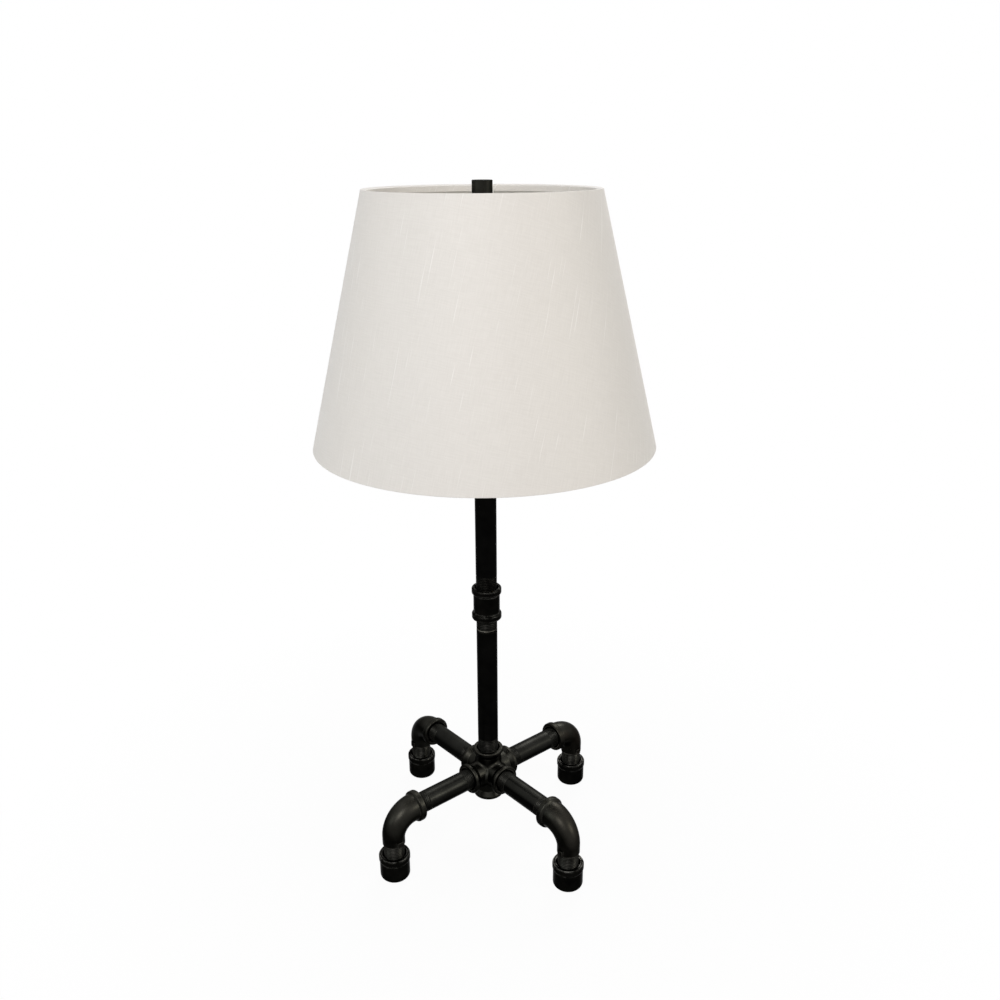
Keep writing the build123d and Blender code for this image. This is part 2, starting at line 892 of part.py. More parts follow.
nodes = {
    "centre_cross": centre_cross(),
    "outlet_bushing": outlet_bushing(),
    "cord_grommet": cord_grommet(),
    "lower_post_pipe": lower_post_pipe(),
    "post_coupling": post_coupling(),
    "upper_post_pipe": upper_post_pipe(),
    "post_top_cap": post_top_cap(),
    "lamp_nipple": lamp_nipple(),
    "lock_nuts": lock_nuts(),
    "harp_saddle": harp_saddle(),
    "harp": harp(),
    "harp_ferrule_left": harp_ferrule(-1),
    "harp_ferrule_right": harp_ferrule(1),
    "harp_stud": harp_stud(),
    "socket_cap": socket_cap(),
    "socket_set_screw": socket_set_screw(),
    "socket_shell": socket_shell(),
    "socket_sleeve": socket_sleeve(),
    "socket_body": socket_body(),
    "terminal_screws": terminal_screws(),
    "socket_screw_shell": socket_screw_shell(),
    "centre_contact": centre_contact(),
    "switch_stem": switch_stem(),
    "switch_knob": switch_knob(),
    "bulb_tip": bulb_tip(),
    "bulb_insulator": bulb_insulator(),
    "bulb_base": bulb_base(),
    "bulb_glass": bulb_glass(),
    "shade_fabric": shade_fabric(),
    "shade_liner": shade_liner(),
    "shade_top_ring": rim_ring(0, 1),
    "shade_bottom_ring": rim_ring(shade_slant, -1),
    "shade_spider": shade_spider(),
    "finial": finial(),
    "finial_insert": finial_insert(),
}
leg_names = ["back_right", "back_left", "front_left", "front_right"]
for name, angle in zip(leg_names, leg_angles()):
    nodes["leg_pipe_" + name] = leg_pipe(angle)
    nodes["leg_elbow_" + name] = leg_elbow(angle)
    nodes["foot_cap_" + name] = foot_cap(angle)

os.makedirs("parts", exist_ok=True)
for name, shape in nodes.items():
    export_step(shape, f"parts/{name}.step")
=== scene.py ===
"""Dresses the packed pipe lamp: a finish for every piece, cut threads, the cloth shade and the studio."""

import json
from math import atan2, cos, hypot, pi, radians, sin

import bmesh
import bpy
from bpy.props import FloatProperty, FloatVectorProperty, IntProperty, PointerProperty
from mathutils import Matrix, Vector


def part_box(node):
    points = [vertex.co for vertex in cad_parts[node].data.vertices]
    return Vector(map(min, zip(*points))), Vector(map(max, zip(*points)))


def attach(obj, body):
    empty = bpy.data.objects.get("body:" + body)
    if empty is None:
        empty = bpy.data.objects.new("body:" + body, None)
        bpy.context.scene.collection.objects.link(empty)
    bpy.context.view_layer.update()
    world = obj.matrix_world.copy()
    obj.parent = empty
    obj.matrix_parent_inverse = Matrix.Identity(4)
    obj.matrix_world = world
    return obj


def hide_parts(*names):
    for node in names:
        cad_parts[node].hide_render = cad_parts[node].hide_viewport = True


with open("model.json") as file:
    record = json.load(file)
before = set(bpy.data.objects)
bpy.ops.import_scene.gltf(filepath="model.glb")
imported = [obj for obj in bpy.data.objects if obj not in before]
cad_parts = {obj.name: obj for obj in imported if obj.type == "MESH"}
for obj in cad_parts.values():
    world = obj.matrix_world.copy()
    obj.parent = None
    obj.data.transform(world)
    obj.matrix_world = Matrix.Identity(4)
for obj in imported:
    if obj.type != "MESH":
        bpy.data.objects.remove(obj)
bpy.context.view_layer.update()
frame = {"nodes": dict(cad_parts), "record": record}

bl_info = {
    "name": "Pipe Table Lamp",
    "version": (1, 0, 0),
    "blender": (4, 5, 0),
    "location": "View3D > Sidebar > Pipe Lamp",
    "description": "Finishes, threads, cloth shade and studio of a table lamp made of pipe fittings",
    "category": "Object",
}

WHITE = (1, 1, 1, 1)

# Sizes in metres and angles in radians, some of them read from the frame
MM = 0.001
MERGE_DISTANCE = 0.002 * MM
LEVEL_TOLERANCE = 0.01 * MM
RIM_TOLERANCE = 0.05 * MM
SMOOTH_ANGLE = radians(38)
pipe_low, pipe_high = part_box("lower_post_pipe")
pipe_radius = (pipe_high.x - pipe_low.x) / 2
leg_bearings = {
    "back_right": radians(45),
    "back_left": radians(135),
    "front_left": radians(225),
    "front_right": radians(315),
}


# Settings that a user would change
def length(name, description, default):
    """Setting for a length in metres."""
    return FloatProperty(
        name=name, description=description, default=default, min=0, unit="LENGTH", precision=5
    )


def colour(name, description, default):
    """Setting for a colour, as linear red, green and blue."""
    return FloatVectorProperty(
        name=name, description=description, default=(*default, 1), size=4, subtype="COLOR", min=0, max=1
    )


def share(name, description, default):
    """Setting between nothing and all."""
    return FloatProperty(name=name, description=description, default=default, min=0, max=1, subtype="FACTOR")


def angle(name, description, degrees):
    """Setting for an angle."""
    return FloatProperty(name=name, description=description, default=radians(degrees), subtype="ANGLE")


def power(name, description, default):
    """Setting for the power of a lamp in watts."""
    return FloatProperty(name=name, description=description, default=default, min=0, subtype="POWER")


class LampThreadSettings(bpy.types.PropertyGroup):
    """Sizes of the cut threads."""

    pipe_pitch: length("Pipe pitch", "Rise of the pipe thread in one turn", 1.814 * MM)
    pipe_depth: length("Pipe depth", "How far the pipe thread stands above its root", 0.55 * MM)
    pipe_length: length("Pipe thread", "Threaded length at each end of a pipe", 21 * MM)
    neck_length: length("Neck thread", "Threaded length of an elbow below its shoulder", 25 * MM)
    mouth_depth: length("Mouth", "How far a thread can be seen inside a fitting's flared mouth", 2.4 * MM)
    stud_radius: length("Stud radius", "Outer radius of the harp stud's thread", 3.15 * MM)
    stud_pitch: length("Stud pitch", "Rise of the harp stud's thread in one turn", 0.94 * MM)
    stud_depth: length("Stud depth", "How far the stud's thread stands above its root", 0.24 * MM)
    bulb_pitch: length("Bulb pitch", "Rise of the bulb's rolled thread in one turn", 3.63 * MM)
    bulb_depth: length("Bulb depth", "Depth of the bulb's rolled thread", 0.9 * MM)
    steps: IntProperty(name="Steps", description="Straight steps in one turn", default=44, min=8)


class LampIronSettings(bpy.types.PropertyGroup):
    """Colours of the iron."""

    # The post pipes stay near-black with no painted light on them, as painted shade under the lamp's shade
    pipe_dark: colour("Post", "Black coat of the post pipes", (0.0013, 0.0013, 0.0012))
    pipe_light: colour("Post, rubbed", "Post where the coat is thin", (0.0034, 0.0033, 0.0030))
    # The legs' light colour is mostly a painted highlight on faces that look up and to the front right
    leg_dark: colour("Leg", "Mill scale under the leg pipes", (0.0010, 0.0010, 0.0009))
    leg_light: colour("Leg, rubbed", "Mill scale where it is handled", (0.0295, 0.0294, 0.0262))
    # The castings' light colour is mostly a painted highlight on faces that look up and to the front right
    cast_dark: colour("Casting", "Blackened cast skin under the fittings", (0.0012, 0.0012, 0.0010))
    cast_light: colour("Casting, rubbed", "Cast skin where it is handled", (0.0390, 0.0387, 0.0331))
    rust: colour("Rust", "Tint of the brown patches on the castings", (1.0, 0.74, 0.64))
    # Partly bare iron and partly a painted highlight along rims and bead edges
    worn_edge_and_glint: colour("Worn edge", "Iron on edges where the black has gone", (0.075, 0.071, 0.062))
    # The caps and the coupling are the castings kept near-black with no painted light, as painted shade on the
    # caps' sides and on the coupling under the lamp's shade
    cap_dark: colour("Cap", "Blacker skin of the foot caps and the coupling", (0.0008, 0.0008, 0.0007))
    cap_light: colour("Cap, rubbed", "Cap where it is handled", (0.0038, 0.0036, 0.0031))
    # Partly bare iron and partly a painted highlight on the caps' bead rims
    cap_edge_wear_and_glint: colour("Cap, worn", "Iron on the rubbed beads of the caps", (0.165, 0.162, 0.148))
    # The post's thread is drawn darker than the elbows' necks, as painted shade under the lamp's shade
    post_thread_dark: colour("Post thread, root", "Oiled root of the post's thread", (0.0032, 0.0031, 0.0028))
    post_thread_light: colour("Post thread, crest", "Cut metal on the post's thread", (0.0170, 0.0167, 0.0150))
    neck_thread_dark: colour("Neck thread, root", "Oiled root of an elbow's thread", (0.0055, 0.0054, 0.0048))
    neck_thread_light: colour("Neck thread, crest", "Cut metal on an elbow's thread", (0.0280, 0.0274, 0.0245))
    finial_dark: colour("Finial", "Coating of the finial", (0.0115, 0.0113, 0.0098))
    finial_light: colour("Finial, rubbed", "Finial where it is handled", (0.0200, 0.0196, 0.0170))
    edge_on: share("Edge on", "How light the iron turns where it is seen edge on", 0.5)


class LampShadeSettings(bpy.types.PropertyGroup):
    """Cloth of the shade."""

    cloth: colour("Cloth", "Ground colour of the cloth", (0.800, 0.762, 0.728))
    cloth_shadow: colour("Cloth, thin", "Colour between the threads", (0.712, 0.674, 0.638))
    slub: colour("Slub", "Thick shiny threads in the cloth", (0.885, 0.853, 0.826))
    thickness: length("Thickness", "Thickness of the cloth", 0.6 * MM)
    thread_pitch: length("Thread pitch", "Distance between two threads of the weave", 0.55 * MM)
    liner: length("Liner", "Thickness of the stiff liner", 1.0 * MM)
    rim_room: length("Rim room", "Room between the rim wire and the cloth", 0.2 * MM)
    turn_in: length("Turn-in", "How far the cloth runs back inside a rim", 5 * MM)
    lap: length("Lap", "Width of the lapped seam at the back", 12 * MM)
    lap_lift: length("Lap lift", "How far the lap stands off the wall", 0.5 * MM)
    lap_share: share("Lap share", "Thickness of the lap as a share of the cloth's", 0.9)
    cut_turn: angle("Cut", "Where the straight grain of the cut cloth lies on the shade", -141)
    segments: IntProperty(name="Segments", description="Straight steps round the shade", default=256, min=32)


class LampStageSettings(bpy.types.PropertyGroup):
    """Camera, floor and lights."""

    camera_place: FloatVectorProperty(
        name="Camera", description="Place of the camera", default=(0.0897, -0.8983, 0.7038), subtype="TRANSLATION"
    )
    camera_turn: angle("Turn", "Camera's turn about the vertical", 4.805)
    camera_tilt: angle("Tilt", "How far the camera looks down", 19.722)
    camera_roll: angle("Roll", "Camera's lean to one side", -0.315)
    lens: FloatProperty(name="Lens", description="Focal length in millimetres", default=35.35, unit="CAMERA")
    sensor: FloatProperty(name="Sensor", description="Sensor width in millimetres", default=36.0, unit="CAMERA")
    floor: colour("Floor", "Pale floor", (0.80, 0.80, 0.80))
    floor_radius: length("Floor radius", "Radius of the round floor", 6.0)
    floor_glow: share("Floor glow", "How much of the floor the camera sees as plain white", 0.95)
    fade_start: length("Fade start", "Where the floor begins to fade to plain white", 0.16)
    fade_end: length("Fade end", "Where the floor is plain white", 0.55)
    room: share("Room", "Light that comes evenly from all round", 0.31)
    room_tint: colour("Room tint", "Tint of the even light", (0.97, 0.985, 1.0))
    aim_height: length("Aim", "Height that the lamps are turned to", 0.35)
    key_power: power("Key", "Power of the large soft lamp", 17.6)
    left_power: power("Left", "Power of the cool lamp", 9.0)
    right_power: power("Right", "Power of the warm lamp", 11.6)
    back_power: power("Back", "Power of the lamp behind", 15.0)


# Node groups that several finishes share
def node(tree, kind, **values):
    """New node with its plain values set."""
    made = tree.nodes.new(kind)
    for name, value in values.items():
        setattr(made, name, value)
    return made


def fill(made, **values):
    """Set a node's inputs, which are named with underscores for blanks."""
    for name, value in values.items():
        made.inputs[name.replace("_", " ")].default_value = value
    return made


def feed(tree, item, socket):
    """Link an output to a socket, or set the socket's own value."""
    if isinstance(item, bpy.types.NodeSocket):
        tree.links.new(item, socket)
    else:
        socket.default_value = item


def new_group(name, inputs, outputs):
    """Empty shader group with its sockets; returns the tree and its two end nodes."""
    tree = bpy.data.node_groups.new(name, "ShaderNodeTree")
    kinds = {"colour": "NodeSocketColor", "value": "NodeSocketFloat"}
    for title, kind, default in inputs:
        socket = tree.interface.new_socket(title, in_out="INPUT", socket_type=kinds[kind])
        socket.default_value = default
    for title, kind in outputs:
        tree.interface.new_socket(title, in_out="OUTPUT", socket_type=kinds[kind])
    return tree, node(tree, "NodeGroupInput"), node(tree, "NodeGroupOutput")


def object_place(tree):
    """Place on the piece, in metres from the origin."""
    return node(tree, "ShaderNodeTexCoord").outputs["Object"]


def true_normal(tree):
    """Direction that the surface faces."""
    return node(tree, "ShaderNodeNewGeometry").outputs["Normal"]


def noise(tree, place, scale, detail):
    """Noise at a place."""
    made = fill(node(tree, "ShaderNodeTexNoise"), Detail=detail, Roughness=0.55)
    feed(tree, scale, made.inputs["Scale"])
    tree.links.new(place, made.inputs["Vector"])
    return made.outputs["Fac"]


def map_range(tree, value, low, high, to_low=0.0, to_high=1.0):
    """Value stretched from one range to another and held inside it."""
    made = fill(node(tree, "ShaderNodeMapRange"), From_Min=low, From_Max=high)
    feed(tree, to_low, made.inputs["To Min"])
    feed(tree, to_high, made.inputs["To Max"])
    tree.links.new(value, made.inputs["Value"])
    return made.outputs["Result"]


def arithmetic(tree, operation, first, second):
    """Sum, product or larger of two sockets, or of a socket and a number."""
    made = node(tree, "ShaderNodeMath", operation=operation)
    feed(tree, first, made.inputs[0])
    feed(tree, second, made.inputs[1])
    return made.outputs["Value"]


def product(tree, *items):
    """Product of several sockets."""
    total = items[0]
    for item in items[1:]:
        total = arithmetic(tree, "MULTIPLY", total, item)
    return total


def weighted_sum(tree, *parts):
    """Sum of sockets, each times its weight."""
    total = arithmetic(tree, "MULTIPLY", *parts[0])
    for part in parts[1:]:
        total = arithmetic(tree, "ADD", total, arithmetic(tree, "MULTIPLY", *part))
    return total


def along(tree, vector, direction):
    """How far a vector runs along a direction."""
    made = node(tree, "ShaderNodeVectorMath", operation="DOT_PRODUCT")
    feed(tree, vector, made.inputs[0])
    feed(tree, direction, made.inputs[1])
    return made.outputs["Value"]


def mix_colour(tree, factor, first, second, blend="MIX"):
    """Blend from the first colour to the second."""
    # The node's sockets for colours come after those for values and vectors, which have the same names
    first_colour, second_colour, mixed_colour = 6, 7, 2
    made = node(tree, "ShaderNodeMix", data_type="RGBA", blend_type=blend)
    tree.links.new(factor, made.inputs["Factor"])
    feed(tree, first, made.inputs[first_colour])
    feed(tree, second, made.inputs[second_colour])
    return made.outputs[mixed_colour]


def skin_group():
    """Blotches, lumps and grain of a cast, rolled, plated or moulded surface, with painted light on faces that
    look up and to the front right.
    """
    tree, into, out = new_group(
        "lamp_skin",
        [
            ("Dark", "colour", (0, 0, 0, 1)),
            ("Light", "colour", WHITE),
            ("Blotch Scale", "value", 40.0),
            ("Lump Scale", "value", 400.0),
            ("Grain Scale", "value", 1500.0),
            ("Rough Low", "value", 0.4),
            ("Rough High", "value", 0.6),
            ("Upward", "value", 0.0),
        ],
        [("Colour", "colour"), ("Roughness", "value"), ("Height", "value")],
    )
    place = object_place(tree)
    blotch = noise(tree, place, into.outputs["Blotch Scale"], detail=5.0)
    lump = noise(tree, place, into.outputs["Lump Scale"], detail=3.0)
    grain = noise(tree, place, into.outputs["Grain Scale"], detail=2.0)
    blotch_share, grain_share = 0.72, 0.28
    stain = weighted_sum(
        tree,
        (map_range(tree, blotch, 0.36, 0.66), blotch_share),
        (map_range(tree, grain, 0.30, 0.70), grain_share),
    )

    # Painted light: faces that look up and to the front right are drawn lighter, a little less at the back as
    # painted shade, and the rest stay black
    lit_side = (0.28, -0.28, 0.918)
    to_rear = (0, 1, 0)
    upper = map_range(tree, along(tree, true_normal(tree), lit_side), 0.32, 1.0)
    painted_back_shade = map_range(tree, along(tree, place, to_rear), -0.10, 0.12, 1.0, 0.70)
    uneven = map_range(tree, stain, 0.0, 1.0, 0.6, 1.0)
    # Mix of the random stain and the painted light, by the share of painted light that each finish gives
    lighter = node(tree, "ShaderNodeMix", data_type="FLOAT")
    tree.links.new(into.outputs["Upward"], lighter.inputs["Factor"])
    tree.links.new(stain, lighter.inputs["A"])
    tree.links.new(product(tree, upper, painted_back_shade, uneven), lighter.inputs["B"])
    shade = mix_colour(tree, lighter.outputs["Result"], into.outputs["Dark"], into.outputs["Light"])
    tree.links.new(shade, out.inputs["Colour"])

    rough = map_range(tree, stain, 0.0, 1.0, into.outputs["Rough High"], into.outputs["Rough Low"])
    tree.links.new(rough, out.inputs["Roughness"])
    lump_height, grain_height = 0.65, 0.35
    height = weighted_sum(tree, (lump, lump_height), (grain, grain_height))
    tree.links.new(height, out.inputs["Height"])


def edge_group():
    """Mask of the outer edges that rub bare, which the finishes also light up as a painted highlight along the
    rims.
    """
    tree, into, out = new_group(
        "lamp_edge_wear", [("Radius", "value", 0.8 * MM), ("Amount", "value", 0.6)], [("Mask", "value")]
    )
    rounded = node(tree, "ShaderNodeBevel", samples=6)
    tree.links.new(into.outputs["Radius"], rounded.inputs["Radius"])
    agreement = along(tree, rounded.outputs["Normal"], true_normal(tree))
    edge = map_range(tree, agreement, 0.995, 0.90)
    patches = noise(tree, object_place(tree), scale=160.0, detail=4.0)
    broken = map_range(tree, patches, 0.38, 0.62)
    # Creases keep their black, so only edges that stand in the open count
    crease = fill(node(tree, "ShaderNodeAmbientOcclusion", samples=6, only_local=True), Distance=2.5 * MM)
    outer = map_range(tree, crease.outputs["AO"], 0.74, 0.94)
    tree.links.new(product(tree, edge, broken, outer, into.outputs["Amount"]), out.inputs["Mask"])


def weave_group():
    """Plain weave with slubs, on the flat cut of the cloth."""
    tree, into, out = new_group(
        "lamp_weave",
        [
            ("Ground", "colour", WHITE),
            ("Between", "colour", (0.8, 0.8, 0.8, 1)),
            ("Slub", "colour", WHITE),
            ("Threads", "value", 1800.0),
        ],
        [("Colour", "colour"), ("Roughness", "value"), ("Height", "value")],
    )
    cut = node(tree, "ShaderNodeUVMap", uv_map="flat_cut").outputs["UV"]
    # A wave texture shows about 3.2 bands per unit of length at a scale of one
    scale_per_band = 0.3142
    heights = []
    for direction in ("X", "Y"):
        threads = node(
            tree, "ShaderNodeTexWave", wave_type="BANDS", bands_direction=direction, wave_profile="SIN"
        )
        fill(threads, Distortion=1.4, Detail=2.0, Detail_Scale=0.9)
        tree.links.new(cut, threads.inputs["Vector"])
        scale = arithmetic(tree, "MULTIPLY", into.outputs["Threads"], scale_per_band)
        tree.links.new(scale, threads.inputs["Scale"])
        heights.append(threads.outputs["Fac"])
    weave = weighted_sum(tree, (heights[0], 0.5), (heights[1], 0.5))

    def streaks(across, down, low=0.3, high=0.7):
        """Short streaks along the grain, so many per metre across it and down it."""
        stretch = fill(node(tree, "ShaderNodeMapping"), Scale=(across, down, 1))
        tree.links.new(cut, stretch.inputs["Vector"])
        return map_range(tree, noise(tree, stretch.outputs["Vector"], scale=1.0, detail=2.0), low, high)

    warp, weft, cloudy = streaks(900, 60), streaks(60, 900), streaks(24, 9)
    slub = streaks(600, 11, 0.660, 0.715)
    tone = weighted_sum(tree, (weave, 0.2), (warp, 0.35), (weft, 0.35), (cloudy, 0.1))
    ground = mix_colour(tree, tone, into.outputs["Between"], into.outputs["Ground"])
    tree.links.new(mix_colour(tree, slub, ground, into.outputs["Slub"]), out.inputs["Colour"])
    plain_rough, slub_rough = 0.47, 0.38
    tree.links.new(map_range(tree, slub, 0.0, 1.0, plain_rough, slub_rough), out.inputs["Roughness"])
    weave_height, slub_height = 0.7, 0.8
    tree.links.new(weighted_sum(tree, (weave, weave_height), (slub, slub_height)), out.inputs["Height"])


# Finishes
def finish_name(finish):
    """Name of a finish's material."""
    return "lamp_" + finish


def placed_group(tree, name, **values):
    """Shared group placed in a material with its own values."""
    return fill(node(tree, "ShaderNodeGroup", node_tree=bpy.data.node_groups[name]), **values)


def new_finish(finish, group_name, bump, **values):
    """Material made from a shared group; returns its tree, its surface and the group's colour."""
    material = bpy.data.materials.new(finish_name(finish))
    material.use_nodes = True
    tree = material.node_tree
    surface = tree.nodes["Principled BSDF"]
    skin = placed_group(tree, group_name, **values)
    relief = fill(node(tree, "ShaderNodeBump"), Strength=1.0, Distance=bump)
    tree.links.new(skin.outputs["Height"], relief.inputs["Height"])
    tree.links.new(relief.outputs["Normal"], surface.inputs["Normal"])
    tree.links.new(skin.outputs["Roughness"], surface.inputs["Roughness"])
    tree.links.new(skin.outputs["Colour"], surface.inputs["Base Color"])
    return tree, surface, skin.outputs["Colour"]


def scales(blotch, lump, grain):
    """Scales of a skin's three noises."""
    return {"Blotch_Scale": blotch, "Lump_Scale": lump, "Grain_Scale": grain}


def edges_worn_and_glinting(tree, below, bare, radius, amount):
    """Bare metal on the edges, partly a painted highlight, over the colour below."""
    edge = placed_group(tree, "lamp_edge_wear", Radius=radius, Amount=amount)
    return mix_colour(tree, edge.outputs["Mask"], below, bare)


def rusted(tree, below, tint):
    """Brown patches over the colour below, more of them at the back right."""
    damp_corner = (1, 0.4, 0)
    place = object_place(tree)
    patches = map_range(tree, noise(tree, place, scale=20.0, detail=4.0), 0.34, 0.52)
    damp = map_range(tree, along(tree, place, damp_corner), 0.03, 0.17, 0.1, 1.0)
    return mix_colour(tree, product(tree, patches, damp), below, tint, "MULTIPLY")


def bright_end(tree, below, settings, threads):
    """Bare metal on the last turn of the thread under the coupling, over the colour below."""
    upward = (0, 0, 1)
    height = along(tree, object_place(tree), upward)
    end = pipe_high.z - threads.pipe_length
    pitch = threads.pipe_pitch
    over_start = map_range(tree, height, end - 2 * pitch, end - pitch)
    under_end = map_range(tree, height, end + 1.2 * pitch, end + 0.8 * pitch)
    return mix_colour(tree, product(tree, over_start, under_end), below, settings.worn_edge_and_glint)


def iron_finishes(settings, threads):
    """Black pipe, black castings, cut threads and the coated finial."""
    pipe, casting = scales(55.0, 260.0, 1400.0), scales(70.0, 340.0, 1100.0)
    thread, coating = scales(120.0, 500.0, 1600.0), scales(90.0, 700.0, 2200.0)
    # Finish, name of its two colours, scales, roughness, bump and share of painted light on faces that look up
    rows = [
        ("black_pipe", "pipe", pipe, (0.38, 0.47), 0.015 * MM, 0.0),
        ("leg_pipe", "leg", pipe, (0.30, 0.40), 0.020 * MM, 0.93),
        ("cast_fitting", "cast", casting, (0.30, 0.40), 0.035 * MM, 0.90),
        ("black_fitting", "cap", casting, (0.28, 0.38), 0.025 * MM, 0.0),
        # Neck and post threads are one cut thread, in a lit copy and a copy darkened as painted shade
        ("neck_thread", "neck_thread", thread, (0.28, 0.42), 0.030 * MM, 0.0),
        ("post_thread", "post_thread", thread, (0.34, 0.50), 0.030 * MM, 0.0),
        ("finial_black", "finial", coating, (0.42, 0.52), 0.040 * MM, 0.0),
    ]
    # Colour, radius and amount of the worn edges, whose light colour is partly bare iron and partly a painted
    # highlight
    worn = {
        "black_pipe": (settings.worn_edge_and_glint, 0.6 * MM, 0.5),
        "leg_pipe": (settings.worn_edge_and_glint, 0.6 * MM, 0.5),
        "cast_fitting": (settings.worn_edge_and_glint, 2.0 * MM, 0.8),
        "black_fitting": (settings.cap_edge_wear_and_glint, 2.2 * MM, 1.0),
        "finial_black": (settings.worn_edge_and_glint, 0.5 * MM, 0.35),
    }
    edge_on = (settings.edge_on, settings.edge_on, settings.edge_on, 1)
    for finish, tint, grain, (low, high), bump, upward in rows:
        dark, light = getattr(settings, tint + "_dark"), getattr(settings, tint + "_light")
        tree, surface, below = new_finish(
            finish, "lamp_skin", bump, Dark=dark, Light=light,
            Rough_Low=low, Rough_High=high, Upward=upward, **grain
        )
        # Dull metal that stays dark where it is seen nearly edge on
        fill(surface, Metallic=1.0, Specular_Tint=edge_on)
        if finish == "cast_fitting":
            below = rusted(tree, below, settings.rust)
        if finish == "post_thread":
            below = bright_end(tree, below, settings, threads)
        if finish in worn:
            below = edges_worn_and_glinting(tree, below, *worn[finish])
        tree.links.new(below, surface.inputs["Base Color"])


def other_finishes():
    """Plated metals, moulded pieces, painted wire, the shade's stiff liner and the bulb's glass."""
    plated, moulded = scales(60.0, 420.0, 2000.0), scales(45.0, 500.0, 1800.0)
    glass = scales(30.0, 600.0, 2600.0)
    metal, dull, clear = {"Metallic": 1.0}, {}, {"Transmission_Weight": 0.15}
    # Dark and light colour, roughness, bump, scales and what else the surface has
    rows = {
        "nickel_steel": ((0.50, 0.49, 0.46), (0.62, 0.61, 0.58), (0.22, 0.36), 0.015 * MM, plated, metal),
        "zinc_steel": ((0.42, 0.42, 0.42), (0.56, 0.57, 0.58), (0.30, 0.48), 0.015 * MM, plated, metal),
        "socket_brass": ((0.55, 0.38, 0.14), (0.70, 0.52, 0.24), (0.20, 0.36), 0.015 * MM, plated, metal),
        "bulb_metal": ((0.60, 0.60, 0.60), (0.74, 0.74, 0.73), (0.26, 0.40), 0.015 * MM, plated, metal),
        "grommet": ((0.012, 0.012, 0.012), (0.026, 0.026, 0.026), (0.55, 0.72), 0.05 * MM, moulded, dull),
        "moulded_black": ((0.010, 0.009, 0.008), (0.022, 0.020, 0.018), (0.30, 0.46), 0.03 * MM, moulded, dull),
        "fibre_sleeve": ((0.32, 0.24, 0.15), (0.44, 0.34, 0.22), (0.78, 0.92), 0.05 * MM, moulded, dull),
        "rim_wire": ((0.66, 0.65, 0.62), (0.76, 0.75, 0.72), (0.34, 0.48), 0.03 * MM, moulded, dull),
        "shade_liner": ((0.755, 0.735, 0.690), (0.780, 0.760, 0.715), (0.58, 0.62), 0.01 * MM, moulded, dull),
        "frosted_glass": ((0.88, 0.88, 0.86), (0.92, 0.92, 0.91), (0.42, 0.52), 0.01 * MM, glass, clear),
    }
    for finish, (dark, light, (low, high), bump, grain, extra) in rows.items():
        _, surface, _ = new_finish(
            finish, "lamp_skin", bump, Dark=(*dark, 1), Light=(*light, 1),
            Rough_Low=low, Rough_High=high, **grain
        )
        fill(surface, **extra)


def cloth_finish(settings):
    """Slubbed off-white cloth of the shade."""
    _, surface, _ = new_finish(
        "shade_cloth", "lamp_weave", 0.10 * MM, Ground=settings.cloth, Between=settings.cloth_shadow,
        Slub=settings.slub, Threads=1 / settings.thread_pitch
    )
    fill(surface, Sheen_Weight=0.12, Sheen_Roughness=0.4, Specular_IOR_Level=0.5)


def finish_of(row):
    """Finish of a node: its slot's, or its own where such pieces are drawn apart: the leg pipes with painted
    light on their tops, the coupling and foot caps near-black as painted shade.
    """
    own = {"foot_cap": "black_fitting", "post_coupling": "black_fitting", "leg_pipe": "leg_pipe"}
    for kind, finish in own.items():
        if row["node"].startswith(kind):
            return finish
    return row["material_slot"]


class LAMP_OT_finishes(bpy.types.Operator):
    """Make every finish and give it to the nodes of the frame"""

    bl_idname = "lamp.finishes"
    bl_label = "Finishes"

    def execute(self, context):
        skin_group()
        edge_group()
        weave_group()
        iron_finishes(context.scene.lamp_iron, context.scene.lamp_threads)
        other_finishes()
        cloth_finish(context.scene.lamp_shade)
        for row in frame["record"]["subparts"]:
            body = frame["nodes"][row["node"]]
            body.data.materials.clear()
            body.data.materials.append(bpy.data.materials[finish_name(finish_of(row))])
        return {"FINISHED"}


# Modelling by hand, as small steps
def clear_selection():
    """Leave edit mode with nothing selected."""
    if bpy.context.mode != "OBJECT":
        bpy.ops.object.mode_set(mode="OBJECT")
    bpy.ops.object.select_all(action="DESELECT")


def only(piece):
    """Select one piece alone, in object mode."""
    clear_selection()
    piece.select_set(True)
    bpy.context.view_layer.objects.active = piece


def edit(piece, mode):
    """Open a piece's mesh with nothing in it selected."""
    only(piece)
    bpy.ops.object.mode_set(mode="EDIT")
    bpy.ops.mesh.select_mode(type=mode)
    bpy.ops.mesh.select_all(action="DESELECT")


def pick(piece, kind, wanted):
    """Select the points, edges or faces of an open mesh that pass a test."""
    mesh = bmesh.from_edit_mesh(piece.data)
    for item in getattr(mesh, kind):
        item.select_set(wanted(item))
    mesh.select_flush_mode()
    bmesh.update_edit_mesh(piece.data)


def apply_place():
    """Make the selected piece's place, turn and size part of its mesh."""
    bpy.ops.object.transform_apply(location=True, rotation=True, scale=True)


def apply_modifiers(piece):
    """Make a piece's modifiers part of its mesh."""
    only(piece)
    for modifier in list(piece.modifiers):
        bpy.ops.object.modifier_apply(modifier=modifier.name)


def tidy_normals(piece):
    """Merge doubles and turn every face outwards."""
    edit(piece, "VERT")
    bpy.ops.mesh.select_all(action="SELECT")
    bpy.ops.mesh.remove_doubles(threshold=MERGE_DISTANCE)
    bpy.ops.mesh.normals_make_consistent(inside=False)
    bpy.ops.object.mode_set(mode="OBJECT")


def lay_out(piece, start, turn=(0, 0, 0)):
    """Turn a piece about the origin, then move it to its start."""
    piece.location = start
    piece.rotation_euler = turn
    only(piece)
    apply_place()


def join(pieces):
    """One object of several."""
    clear_selection()
    for piece in pieces:
        piece.select_set(True)
    bpy.context.view_layer.objects.active = pieces[0]
    if len(pieces) > 1:
        bpy.ops.object.join()
    return bpy.context.active_object


